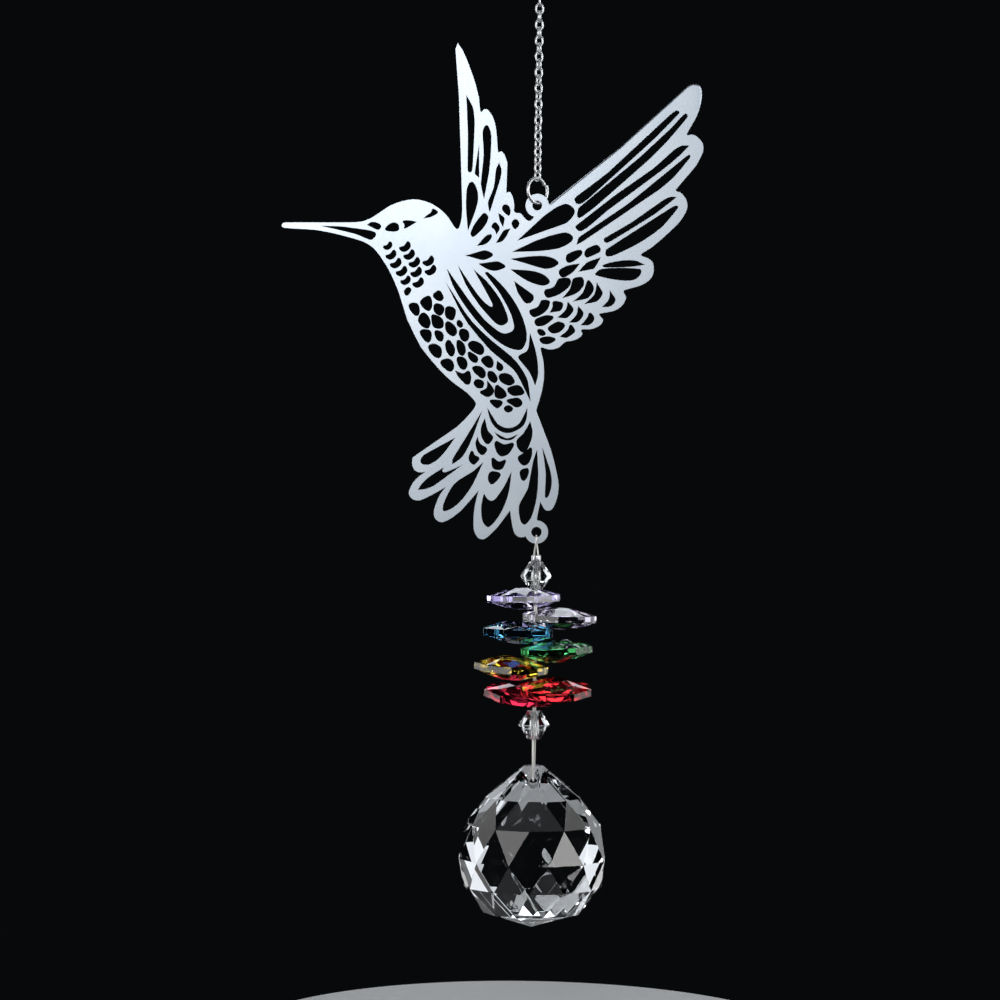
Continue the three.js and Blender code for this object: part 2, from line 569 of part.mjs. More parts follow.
function birdPlate() {
  const featherCuts = [HEAD_CUTS, FOLDED_WING_CUTS, LEFT_WING_CUTS, FAN_CUTS, TAIL_CUTS].flat().map(cornered);
  const roundCuts = [BREAST_CUTS, TAIL_SCALES].flat().map(rounded);
  const scales = [...COVERT_CUTS.map(cornered), ...throatCuts()];
  const cuts = [
    ...QUILL_CUTS.map((cut) => widened(cornered(cut), QUILL_KERF)),
    ...[...featherCuts, ...roundCuts].map((cut) => widened(cut, CUT_KERF)),
    ...scales.map((cut) => widened(cut, SCALE_KERF)),
  ];
  let sheet = area(cornered(BIRD_OUTLINE));
  for (const cut of cuts) sheet = sheet.subtract(area(cut));
  for (const [tab, hole] of [[UPPER_TAB, UPPER_TAB_HOLE], [LOWER_TAB, LOWER_TAB_HOLE]]) {
    const centre = gridPoint(tab[0], tab[1]);
    sheet = sheet.add(disc(centre, TAB_DIAMETER, TAB_SIDES)).subtract(disc(centre, hole, TAB_HOLE_SIDES));
  }
  const plate = sheet.extrude(PLATE_THICKNESS).translate([0, 0, -PLATE_THICKNESS / 2]);
  const geometry = geometryOf(plate).rotateX(Math.PI / 2);
  const bird = piece("hummingbird_plate", geometry, steel("#b9c0c8", 0.35));
  bird.rotation.y = -degrees(PLATE_LEAN);
  bird.position.z = upperHole;
  return bird;
}

function crimp() {
  const outer = solidOf(bar(CRIMP_DIAMETER, CRIMP_HEIGHT, CRIMP_SIDES));
  const tube = outer.subtract(solidOf(bar(CRIMP_HOLE, 2 * CRIMP_HEIGHT, DRILL_SIDES)));
  const sleeve = piece("crimp_bead", geometryOf(tube), steel("#d8dadd", 0.2));
  sleeve.position.z = (crimpTop + crimpFoot) / 2;
  return sleeve;
}

// A clear bead with a sharp equator between two flats, drilled along its axis.
function clearBead(name, height) {
  const rings = [
    { radius: CLEAR_FLAT / 2, height: CLEAR_HEIGHT / 2, turned: true },
    { radius: CLEAR_WIDTH / 2, height: 0, turned: false },
    { radius: CLEAR_FLAT / 2, height: -CLEAR_HEIGHT / 2, turned: true },
  ];
  const hole = bar(BEAD_HOLE, 2 * CLEAR_HEIGHT, DRILL_SIDES);
  const stone = solidOf(cutStone(rings, STONE_SIDES)).subtract(solidOf(hole));
  const bead = piece(name, geometryOf(stone), glass("#eef2f6"));
  bead.position.z = height;
  return bead;
}

// How far the octagon's face stands over its middle plane at a distance from its axis
function octagonFace(distance) {
  const slope = (OCTAGON_THICKNESS - OCTAGON_RIM) / ((OCTAGON_WIDTH - OCTAGON_TABLE) * CORNER);
  return OCTAGON_RIM / 2 + ((OCTAGON_WIDTH / 2) * CORNER - distance) * slope;
}

// An eight-sided stone with a star of facets round a small table on each face, drilled near two opposite
// sides. One hole lies on the strand, and the stone's middle a drill place away along X.
function octagonGeometry() {
  const star = (OCTAGON_WIDTH + OCTAGON_TABLE) / 4;
  const rings = [];
  for (const side of [1, -1]) {
    const table = (side * OCTAGON_THICKNESS) / 2;
    rings.push({ radius: (OCTAGON_WIDTH / 2) * CORNER, height: (side * OCTAGON_RIM) / 2, turned: true });
    rings.push({ radius: star * CORNER, height: side * octagonFace(star * CORNER), turned: false });
    rings.push({ radius: (OCTAGON_TABLE / 2) * CORNER, height: table, turned: true });
  }
  let stone = solidOf(cutStone(rings, STONE_SIDES));
  for (const side of [1, -1]) {
    const hole = bar(BEAD_HOLE, 2 * OCTAGON_THICKNESS, DRILL_SIDES);
    stone = stone.subtract(solidOf(hole.translate(side * OCTAGON_HOLE_PLACE, 0, 0)));
  }
  return geometryOf(stone).translate(OCTAGON_HOLE_PLACE, 0, 0);
}

// The step down the strand from one octagon to the next: their faces touch where both are thickest together.
function octagonStep(upper, lower) {
  const between = degrees(lower.swing - upper.swing);
  const apart = OCTAGON_HOLE_PLACE * Math.abs(Math.sin(between / 2));
  const touch = OCTAGON_HOLE_PLACE * Math.abs(Math.cos(between / 2));
  const edge = OCTAGON_WIDTH / 2 - OCTAGON_HOLE_PLACE;
  const tilt = Math.hypot(degrees(lower.lean - upper.lean), degrees(lower.nod - upper.nod));
  return 2 * octagonFace(apart) + Math.max(touch, edge) * Math.sin(tilt) + CONTACT_GAP;
}

const clearStep = CLEAR_HEIGHT / 2 + octagonFace(OCTAGON_HOLE_PLACE - CLEAR_FLAT / 2) + CONTACT_GAP;
const octagonHeights = [upperBead - clearStep];
for (let i = 1; i < OCTAGONS.length; i += 1) {
  octagonHeights.push(octagonHeights[i - 1] - octagonStep(OCTAGONS[i - 1], OCTAGONS[i]));
}
const lowerBead = octagonHeights[OCTAGONS.length - 1] - clearStep;
const ballTop = lowerBead - CLEAR_HEIGHT / 2 - BALL_DROP;
const ballCentre = ballTop - BALL_RINGS[0].height;

function octagons() {
  const stack = new THREE.Group();
  const geometry = octagonGeometry();
  OCTAGONS.forEach(({ name, colour, swing, lean, nod }, i) => {
    const bead = piece(`octagon_bead_${name}`, geometry.clone(), glass(colour));
    bead.rotation.z = degrees(swing);
    const tipped = new THREE.Group();
    tipped.rotation.set(degrees(nod), degrees(-lean), 0);
    tipped.position.z = octagonHeights[i];
    stack.add(tipped.add(bead));
  });
  return stack;
}

// The ball is drilled from front to back through its upper facets.
function crystalBall() {
  const hole = bar(BALL_HOLE, BALL_WIDTH, BALL_DRILL_SIDES).rotateX(Math.PI / 2);
  const stone = solidOf(cutStone(BALL_RINGS, BALL_SIDES).rotateZ(degrees(BALL_TURN)));
  const drilled = stone.subtract(solidOf(hole.translate(0, 0, BALL_HOLE_HEIGHT)));
  const ball = piece("crystal_ball", geometryOf(drilled), glass("#f3f6f8"));
  ball.position.z = ballCentre;
  return ball;
}

// The wire's way: up from the crimp, over the foot of the lower tab, down through every bead, through the
// ball and up again into the crimp. Its two strands lie side by side. Its bends are set out in wire widths.
function beadingWire() {
  const half = WIRE_DIAMETER / 2;
  const strand = half + STRAND_GAP / 2;
  const spread = CRIMP_HOLE / 2 - half - STRAND_GAP;
  const loop = Math.SQRT2 * (PLATE_THICKNESS / 2) + half + STRAND_GAP;
  const loopCentre = lowerHole - LOWER_TAB_HOLE / 2 - PLATE_THICKNESS / 2;
  const tabFoot = lowerHole - TAB_DIAMETER / 2;
  const crimpCentre = (crimpTop + crimpFoot) / 2;
  const beadFoot = lowerBead - CLEAR_HEIGHT / 2;
  const arc = Math.SQRT1_2 * loop;
  const ceiling = ballCentre + BALL_HOLE_HEIGHT + BALL_HOLE / 2;
  const [top, shoulder] = BALL_RINGS;
  const fall = (top.height - shoulder.height) / (shoulder.radius - top.radius);
  const lip = top.radius + (ballTop - ceiling) / fall;
  const off = half + STRAND_GAP;
  const places = [
    [-spread, 0, crimpCentre + half],
    [-spread, 0, crimpTop],
    [-0.7 * spread, -0.4 * loop, (crimpTop + tabFoot) / 2],
    [-0.2 * spread, -loop, tabFoot],
    [0, -loop, loopCentre],
    [0, -arc, loopCentre + arc],
    [0, 0, loopCentre + loop],
    [0, arc, loopCentre + arc],
    [0, loop, loopCentre],
    [0.2 * spread, loop, tabFoot],
    [0.7 * spread, 0.4 * loop, (crimpTop + tabFoot) / 2],
    [spread, 0, crimpTop],
    [spread, 0, crimpFoot],
    [strand, 0, upperBead - CLEAR_HEIGHT / 2],
    [strand, 0, beadFoot],
    [strand, 0.4 * top.radius, ballTop + 0.6 * BALL_DROP],
    [strand, top.radius + off, ballTop + off],
    [strand, lip, ceiling + 2 * off],
    [strand, lip + 1.6 * off, ceiling + 0.4 * off],
    [0.6 * strand, lip + 0.8 * off, ceiling - 1.1 * off],
    [0, 0, ceiling - 1.4 * off],
    [-0.6 * strand, -lip - 0.8 * off, ceiling - 1.1 * off],
    [-strand, -lip - 1.6 * off, ceiling + 0.4 * off],
    [-strand, -lip, ceiling + 2 * off],
    [-strand, -top.radius - off, ballTop + off],
    [-strand, -0.4 * top.radius, ballTop + 0.6 * BALL_DROP],
    [-strand, 0, beadFoot],
    [-strand, 0, upperBead - CLEAR_HEIGHT / 2],
    [-spread, 0, crimpFoot],
    [-spread, 0, crimpCentre - half],
  ];
  const points = places.map((place) => new THREE.Vector3(...place));
  const geometry = wireAlong(points, WIRE_DIAMETER, STRAND_SIDES, STRAND_STEPS_PER_SPAN);
  return piece("beading_wire", geometry, steel("#dfe2e5", 0.2));
}

const beadStrand = new THREE.Group();
beadStrand.position.x = strandLine;
beadStrand.add(
  beadingWire(), crimp(), clearBead("upper_clear_bead", upperBead), octagons(),
  clearBead("lower_clear_bead", lowerBead), crystalBall(),
);

const suncatcher = new THREE.Group();
suncatcher.add(hangingRing(), chain(), jumpRing(), birdPlate(), beadStrand);
export default suncatcher;
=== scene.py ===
"""Looks of the crystal prism suncatcher: stainless steel, coated wire, cut glass and clear crystal."""
import math

import bmesh
import bpy
from mathutils import Matrix, Vector
from mathutils.geometry import interpolate_bezier


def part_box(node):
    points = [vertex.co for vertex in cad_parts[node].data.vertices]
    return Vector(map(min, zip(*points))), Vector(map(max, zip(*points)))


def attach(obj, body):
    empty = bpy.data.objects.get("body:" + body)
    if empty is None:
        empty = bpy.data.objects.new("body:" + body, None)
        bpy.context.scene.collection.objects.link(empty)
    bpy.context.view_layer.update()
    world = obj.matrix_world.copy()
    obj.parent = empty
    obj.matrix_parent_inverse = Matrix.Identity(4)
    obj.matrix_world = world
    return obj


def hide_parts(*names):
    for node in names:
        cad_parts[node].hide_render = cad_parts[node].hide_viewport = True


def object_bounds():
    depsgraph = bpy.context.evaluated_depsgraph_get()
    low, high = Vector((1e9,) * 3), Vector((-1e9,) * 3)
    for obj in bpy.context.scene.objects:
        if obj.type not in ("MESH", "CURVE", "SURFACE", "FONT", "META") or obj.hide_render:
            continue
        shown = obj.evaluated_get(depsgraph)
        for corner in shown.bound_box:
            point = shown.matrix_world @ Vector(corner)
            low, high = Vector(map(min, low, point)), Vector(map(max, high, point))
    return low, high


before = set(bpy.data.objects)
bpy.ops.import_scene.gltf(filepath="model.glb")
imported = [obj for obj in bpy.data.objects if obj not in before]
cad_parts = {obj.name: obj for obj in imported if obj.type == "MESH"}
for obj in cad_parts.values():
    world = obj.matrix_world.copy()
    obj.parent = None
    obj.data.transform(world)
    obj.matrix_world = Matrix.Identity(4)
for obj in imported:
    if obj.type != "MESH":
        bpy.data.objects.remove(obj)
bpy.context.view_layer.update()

MM = 0.001

# Camera: where it stands and aims, and how it is rolled
CAMERA_DISTANCE = 550
CAMERA_AIM = (-6.91, 0, -115.13)
CAMERA_ROLL = 0.7
VIEW_WIDTH = 205.5
SENSOR_WIDTH = 36
NEAREST_SEEN = 10
FARTHEST_SEEN = 10000

# Corners of a mesh nearer than this are one
WELD_DISTANCE = 0.002

# Plate and its rounded edge, and how much of a normal points forward on its front
PLATE_THICKNESS = 0.6
PLATE_EDGE = 0.04
PLATE_SMOOTH_ANGLE = 30
SHARPEST_MITRE = 0.6
FRONT_FACING = 0.9

# Corners of the plate's outlines: the turn that is sharp and the tip that is too narrow to ease, in degrees,
# and how much is cut off, in millimetres and as a share of the side
SHARP_TURN = 72
NARROW_TIP = 55
CORNER_EASE = 0.2
CORNER_SHARE = 0.25

# Flow of the plate's outlines: how far it may leave a chord, less so a long one, and how finely it bends
CHORD_ERROR = 0.16
LONG_CHORD = 2.5
TURN_STEP = 9
MOST_STEPS = 8

# Chain and rings, as the solids have them
HANGER_DIAMETER = 10
HANGER_WIRE = 0.8
LINK_LENGTH = 2.525
LINK_WIDTH = 1.88
LINK_WIRE = 0.42
LINK_COUNT = 25
SQUARE_LINKS = 3
RING_DIAMETER = 5.8
RING_WIRE = 0.64
RING_TURN = 42
RING_GAP_ANGLE = 28
RING_GAP = 0.15
RING_SPREAD = 0.5

# Fineness of the round pieces: sides of a wire's section and steps round each bend
WIRE_SIDES = 16
LINK_SIDES = 12
HANGER_STEPS = 72
RING_STEPS = 60
LINK_STEPS = 32
CRIMP_STEPS = 48
BEADING_WIRE_STEPS = 6
BEADING_WIRE_BEVEL = 3
ROUND_SMOOTH_ANGLE = 60

# Beading wire and crimp, as the solids have them
WIRE_DIAMETER = 0.35
STRAND_GAP = 0.07
LOOP_DROP = 4.75
LOWER_TAB_HOLE = 2.2
TAB_DIAMETER = 4.7
CRIMP_DIAMETER = 2
CRIMP_HOLE = 1.3
CRIMP_EDGE = 0.22
CRIMP_DENT = 0.2
CRIMP_DENT_WIDTH = 0.35

# Facets: the edge between two, and the angles under which faces are one facet or meet without an edge
FACET_EDGE = 0.04
SAME_PLANE = 1
FLAT_TURN = 4

# Walls of drilled holes: how far they lie from a hole's middle line and how much they may face along it
DRILL_REACH = 1.1
DRILL_SLANT = 0.35

# Ball, as the solid has it
BALL_HOLE_HEIGHT = 14.2
BALL_TOP = 17.5
BALL_TOP_FLAT = 4
BALL_FALL = 0.797
BALL_HOLE = 2.2
BALL_DROP = 5.5

# Glass
GLASS_IOR = 1.56
OCTAGON_COLOURS = {
    "violet": "#c0b4ee",
    "lavender": "#eee4f8",
    "blue": "#5cbcf0",
    "green": "#58cc72",
    "amber": "#fbd640",
    "red": "#f5323c",
    "dark_red": "#d42a48",
}

# Floor
FLOOR_RADIUS = 60
FLOOR_DROP = 22
FLOOR_SIDES = 128

# Lamps: where they stand, their width and height, their watts and their colour
LAMP_AIM = (0, 0, -115)
LAMPS = {
    "front_box": ((-120, -740, 120), (240, 240), 1.4, "#f6fafe"),
    "overhead_box": ((0, -520, 620), (1100, 500), 0.7, "#eef4fb"),
    "left_box": ((-370, -340, -90), (300, 260), 0.7, "#ffffff"),
    "right_box": ((441, -235, -30), (200, 260), 1.0, "#ffffff"),
    "left_strip": ((-430, 100, -60), (150, 800), 0.5, "#ffffff"),
    "right_strip": ((430, 100, -60), (150, 800), 0.5, "#ffffff"),
    "back_left_box": ((-420, 460, -100), (240, 500), 0.4, "#f2f6fb"),
    "back_right_box": ((420, 460, -100), (240, 500), 0.4, "#f2f6fb"),
    "rear_box": ((0, 700, 340), (900, 240), 1.7, "#eef4fb"),
}

# Numbered sockets of a node that mixes two colours
MIX_FACTOR = 0
MIX_FIRST = 6
MIX_SECOND = 7
MIX_RESULT = 2


def linear(code):
    """A hex colour as the linear values that shaders take."""
    parts = [int(code[i:i + 2], 16) / 255 for i in (1, 3, 5)]
    return tuple(c / 12.92 if c <= 0.04045 else ((c + 0.055) / 1.055) ** 2.4 for c in parts) + (1,)


def add_node(material, kind, inputs, **settings):
    """Adds a node. Each input is given a value or the output that feeds it."""
    tree = material.node_tree
    node = tree.nodes.new(kind)
    for name, value in settings.items():
        setattr(node, name, value)
    for socket, value in inputs.items():
        if isinstance(value, bpy.types.NodeSocket):
            tree.links.new(value, node.inputs[socket])
        else:
            node.inputs[socket].default_value = value
    return node


def new_material(name):
    material = bpy.data.materials.new(name)
    material.use_nodes = True
    material.node_tree.nodes.clear()
    return material


def shaded(material, inputs):
    """Ends a material in a principled shader with these inputs."""
    shader = add_node(material, "ShaderNodeBsdfPrincipled", inputs)
    add_node(material, "ShaderNodeOutputMaterial", {"Surface": shader.outputs[0]})
    return material


def noise_over(material, size_mm, detail=2):
    """Noise whose blotches are about that many millimetres across."""
    place = add_node(material, "ShaderNodeTexCoord", {})
    return add_node(material, "ShaderNodeTexNoise", {
        "Vector": place.outputs["Object"], "Scale": 1 / (size_mm * MM), "Detail": detail,
    })


def between(material, noise, least, most):
    """A noise's value brought between two limits."""
    spread = add_node(material, "ShaderNodeMapRange", {
        "Value": noise.outputs[0], "To Min": least, "To Max": most,
    })
    return spread.outputs[0]


def tinted(material, noise, first, second):
    """A colour that wanders between two with a noise."""
    mix = add_node(material, "ShaderNodeMix", {
        MIX_FACTOR: noise.outputs[0], MIX_FIRST: linear(first), MIX_SECOND: linear(second),
    }, data_type="RGBA")
    return mix.outputs[MIX_RESULT]


def relief(material, noise, strength, depth_mm):
    """The unevenness that a noise gives a surface."""
    bump = add_node(material, "ShaderNodeBump", {
        "Height": noise.outputs[0], "Strength": strength, "Distance": depth_mm * MM,
    })
    return bump.outputs[0]


def satin_stainless_sheet():
    """Cut stainless sheet, tumbled after cutting: a soft sheen, a fine grain and faint cloudy patches."""
    material = new_material("satin_stainless_sheet")
    clouds = noise_over(material, 14)
    grain = noise_over(material, 0.35, detail=3)
    return shaded(material, {
        "Base Color": tinted(material, clouds, "#c6cfda", "#dfe5ea"),
        "Metallic": 1,
        "Roughness": between(material, grain, least=0.34, most=0.46),
        "Normal": relief(material, grain, strength=0.25, depth_mm=0.02),
    })


def polished_stainless_wire():
    """Drawn stainless wire, bright but not mirror-flat: faint drawing marks break up its reflections."""
    material = new_material("polished_stainless_wire")
    marks = noise_over(material, 0.3, detail=3)
    return shaded(material, {
        "Base Color": linear("#e4e6e8"),
        "Metallic": 1,
        "Roughness": between(material, marks, least=0.3, most=0.42),
        "Normal": relief(material, marks, strength=0.15, depth_mm=0.01),
    })


def coated_beading_wire():
    """Stranded steel wire in a thin clear nylon coat: pale, with a soft broad shine."""
    material = new_material("nylon_coated_beading_wire")
    strands = noise_over(material, 0.2)
    return shaded(material, {
        "Base Color": linear("#f6f5f0"),
        "Metallic": 0.5,
        "Roughness": between(material, strands, least=0.38, most=0.5),
        "Coat Weight": 0.5,
        "Coat Roughness": 0.15,
    })


def cut_glass(name, colour):
    """Machine-cut, polished glass: clear and sharp, with facets that are very slightly wavy."""
    material = new_material(name)
    waves = noise_over(material, 3)
    return shaded(material, {
        "Base Color": linear(colour),
        "Roughness": 0,
        "IOR": GLASS_IOR,
        "Transmission Weight": 1,
        "Normal": relief(material, waves, strength=0.08, depth_mm=0.05),
    })


def drilled_glass(name, clear, least, most):
    """The wall of a drilled hole, rough from the grit and the whiter the less clear it is."""
    material = new_material(name)
    grit = noise_over(material, 0.12, detail=3)
    return shaded(material, {
        "Base Color": linear("#f4f6f8"),
        "Roughness": between(material, grit, least, most),
        "IOR": GLASS_IOR,
        "Transmission Weight": clear,
    })


def merged_copy(node):
    """A copy of a solid's surface with its corners joined, in millimetres."""
    shape = bmesh.new()
    shape.from_mesh(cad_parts[node].data)
    bmesh.ops.scale(shape, vec=Vector((1 / MM, 1 / MM, 1 / MM)), verts=shape.verts)
    bmesh.ops.remove_doubles(shape, verts=shape.verts, dist=WELD_DISTANCE)
    return shape


def joined(shape, name, nodes, materials):
    """Makes a mesh or curve a piece of the object that stands for these solids."""
    for material in materials:
        shape.materials.append(material)
    piece = bpy.data.objects.new(name, shape)
    bpy.context.scene.collection.objects.link(piece)
    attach(piece, "root")
    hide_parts(*nodes)
    return piece


def finished(mesh, name, nodes, materials, smooth_angle=None):
    """Brings a mesh from millimetres to metres and makes it a piece."""
    mesh.transform(Matrix.Scale(MM, 4))
    if smooth_angle is not None:
        mesh.shade_smooth()
        mesh.set_sharp_from_angle(angle=math.radians(smooth_angle))
    return joined(mesh, name, nodes, materials)


def mesh_of(shape, name):
    """Turns a working shape into a mesh and lets the shape go."""
    mesh = bpy.data.meshes.new(name)
    shape.to_mesh(mesh)
    shape.free()
    return mesh


def centre_mm(node):
    low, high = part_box(node)
    return (low + high) / 2 / MM


def top_mm(node):
    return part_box(node)[1].z / MM


def foot_mm(node):
    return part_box(node)[0].z / MM


# Steel pieces

def rims(shape):
    """Closed rows of corners round the plate's front and its cuts, all with the metal on one hand."""
    left = []
    for edge in shape.edges:
        sides = [faces_front(face) for face in edge.link_faces]
        if any(sides) and not all(sides):
            left.append(edge)
    rows = []
    while left:
        first, at = metal_on_one_hand(left.pop(0))
        row = [first.co.copy()]
        while at != first:
            row.append(at.co.copy())
            edge = next(edge for edge in left if at in edge.verts)
            left.remove(edge)
            at = edge.other_vert(at)
        rows.append(row)
    return rows


def faces_front(face):
    return face.normal.y < -FRONT_FACING


def metal_on_one_hand(edge):
    """The two ends of a rim's edge in the order in which the front face beside it is wound."""
    front = next(face for face in edge.link_faces if faces_front(face))
    loop = next(loop for loop in front.loops if loop.edge == edge)
    return loop.vert, loop.link_loop_next.vert


def eased(row):
    """A row with its sharp corners cut off a little, as a cutting beam leaves them. Narrow tips stay."""
    points = []
    for i, corner in enumerate(row):
        sides = [row[i - 1] - corner, row[(i + 1) % len(row)] - corner]
        if NARROW_TIP < math.degrees(sides[0].angle(sides[1])) < 180 - SHARP_TURN:
            for side in sides:
                points.append(corner + side.normalized() * min(CORNER_EASE, side.length * CORNER_SHARE))
        else:
            points.append(corner)
    return points


def bend_at(row, i):
    """The direction in which a row passes one of its corners, or None at a sharp corner."""
    before = row[i] - row[i - 1]
    after = row[(i + 1) % len(row)] - row[i]
    if math.degrees(before.angle(after)) > SHARP_TURN:
        return None
    return (before.normalized() * after.length + after.normalized() * before.length).normalized()


def reach_of(way, chord):
    """How far a curve keeps to its end's direction, so that it stays near its chord."""
    room = CHORD_ERROR * min(1, LONG_CHORD / chord.length)
    slope = max(math.sin(way.angle(chord)), 0.001)
    # A Bezier curve bulges three quarters as far as its handles do
    return min(chord.length / 3, 4 / 3 * room / slope)


def flowing(row):
    """A row of corners as a smooth line through them, with more points where it bends more."""
    points = []
    for i, start in enumerate(row):
        k = (i + 1) % len(row)
        chord = row[k] - start
        leave = bend_at(row, i) or chord.normalized()
        arrive = bend_at(row, k) or chord.normalized()
        turned = math.degrees(leave.angle(chord) + arrive.angle(chord))
        steps = 1 + min(MOST_STEPS, round(turned / TURN_STEP))
        first = start + leave * reach_of(leave, chord)
        second = row[k] - arrive * reach_of(arrive, chord)
        points += interpolate_bezier(start, first, second, row[k], steps + 1)[:-1]
    return points


def outward(row, i):
    """The way from the metal to the open side of a rim's point, longer at corners for an even edge."""
    before = (row[i] - row[i - 1]).normalized()
    after = (row[(i + 1) % len(row)] - row[i]).normalized()
    depth = Vector((0, 1, 0))
    side = (before + after).cross(depth).normalized()
    return side / max(SHARPEST_MITRE, side.dot(after.cross(depth)))


def hummingbird_sheet():
    """The plate with flowing outlines through the solid's corners and softly rounded edges."""
    solid = merged_copy("hummingbird_plate")
    shape = bmesh.new()
    way_out = shape.verts.layers.float_vector.new("way_out")
    # The strips of the plate's side: how far each goes outward, in edge widths, and how deep
    strips = [(1, PLATE_EDGE), (0, PLATE_THICKNESS - 2 * PLATE_EDGE), (-1, PLATE_EDGE)]
    ring = []
    for row in [flowing(eased(rim)) for rim in rims(solid)]:
        corners = []
        for i, point in enumerate(row):
            way = outward(row, i) * PLATE_EDGE
            corner = shape.verts.new((point.x - way.x, -PLATE_THICKNESS / 2, point.z - way.z))
            corner[way_out] = way
            corners.append(corner)
        ring += [shape.edges.new((corners[i - 1], corners[i])) for i in range(len(corners))]
    solid.free()
    bmesh.ops.triangle_fill(shape, use_beauty=True, edges=ring, normal=Vector((0, -1, 0)))
    for share, depth in strips:
        made = bmesh.ops.extrude_edge_only(shape, edges=ring)["geom"]
        moved = {part for part in made if isinstance(part, bmesh.types.BMVert)}
        for corner in moved:
            corner.co += corner[way_out] * share + Vector((0, depth, 0))
        lines = [part for part in made if isinstance(part, bmesh.types.BMEdge)]
        ring = [line for line in lines if moved.issuperset(line.verts)]
    bmesh.ops.triangle_fill(shape, use_beauty=True, edges=ring, normal=Vector((0, 1, 0)))
    bmesh.ops.recalc_face_normals(shape, faces=shape.faces)
    mesh = mesh_of(shape, "hummingbird_sheet")
    return finished(
        mesh, "hummingbird_sheet", ["hummingbird_plate"], [satin], PLATE_SMOOTH_ANGLE,
    )


def round_wire(radius, wire, sides, steps, angle=2 * math.pi, start=0.0, rise=0.0):
    """A wire bent round the Y axis. With a rise, it climbs along Y as it goes."""
    closed = angle == 2 * math.pi
    shape = bmesh.new()
    section = bmesh.ops.create_circle(shape, cap_ends=not closed, segments=sides, radius=wire / 2)
    bmesh.ops.translate(shape, vec=Vector((radius, 0, 0)), verts=section["verts"])
    bmesh.ops.rotate(shape, matrix=Matrix.Rotation(-start, 3, "Y"), verts=section["verts"])
    bmesh.ops.spin(
        shape, geom=[*shape.verts, *shape.edges, *shape.faces], cent=Vector(), axis=Vector((0, -1, 0)),
        dvec=Vector((0, rise / steps, 0)), angle=angle, steps=steps, use_merge=closed,
        use_duplicate=False,
    )
    bmesh.ops.remove_doubles(shape, verts=shape.verts, dist=WELD_DISTANCE)
    bmesh.ops.recalc_face_normals(shape, faces=shape.faces)
    return shape


def hanging_ring():
    """A closed round ring."""
    shape = round_wire((HANGER_DIAMETER - HANGER_WIRE) / 2, HANGER_WIRE, WIRE_SIDES, HANGER_STEPS)
    bmesh.ops.translate(shape, vec=centre_mm("hanging_ring"), verts=shape.verts)
    mesh = mesh_of(shape, "hanging_ring_wire")
    return finished(
        mesh, "hanging_ring_wire", ["hanging_ring"], [wire_steel], ROUND_SMOOTH_ANGLE,
    )


def chain_links():
    """Oval links: rings whose sections are moved up and down, the more the higher or lower they lie."""
    radius = (LINK_WIDTH - LINK_WIRE) / 2
    stretch = (LINK_LENGTH - LINK_WIDTH) / 2
    half_step = math.pi / LINK_STEPS
    for i in range(LINK_COUNT):
        node = f"chain_link_{i + 1:02d}"
        shape = round_wire(radius, LINK_WIRE, LINK_SIDES, LINK_STEPS, start=half_step)
        for corner in shape.verts:
            corner.co.z += stretch * corner.co.z / math.hypot(corner.co.x, corner.co.z)
        twist = RING_TURN * math.sqrt(max(0, i + 1 - SQUARE_LINKS) / (LINK_COUNT - SQUARE_LINKS))
        turned = math.radians((90 if i % 2 == 0 else 0) + twist)
        bmesh.ops.rotate(shape, matrix=Matrix.Rotation(turned, 3, "Z"), verts=shape.verts)
        bmesh.ops.translate(shape, vec=centre_mm(node), verts=shape.verts)
        name = f"link_wire_{i + 1:02d}"
        finished(mesh_of(shape, name), name, [node], [wire_steel], ROUND_SMOOTH_ANGLE)


def jump_ring():
    """An open ring whose ends pass each other sideways."""
    radius = (RING_DIAMETER - RING_WIRE) / 2
    gap = RING_GAP / radius
    start = math.radians(RING_GAP_ANGLE) + gap / 2
    shape = round_wire(
        radius, RING_WIRE, WIRE_SIDES, RING_STEPS, 2 * math.pi - gap, start, -RING_SPREAD,
    )
    bmesh.ops.translate(shape, vec=Vector((0, RING_SPREAD / 2, 0)), verts=shape.verts)
    bmesh.ops.rotate(shape, matrix=Matrix.Rotation(math.radians(RING_TURN), 3, "Z"), verts=shape.verts)
    middle = centre_mm("jump_ring")
    bmesh.ops.translate(shape, vec=Vector((0, 0, middle.z)), verts=shape.verts)
    mesh = mesh_of(shape, "jump_ring_wire")
    return finished(
        mesh, "jump_ring_wire", ["jump_ring"], [wire_steel], ROUND_SMOOTH_ANGLE,
    )


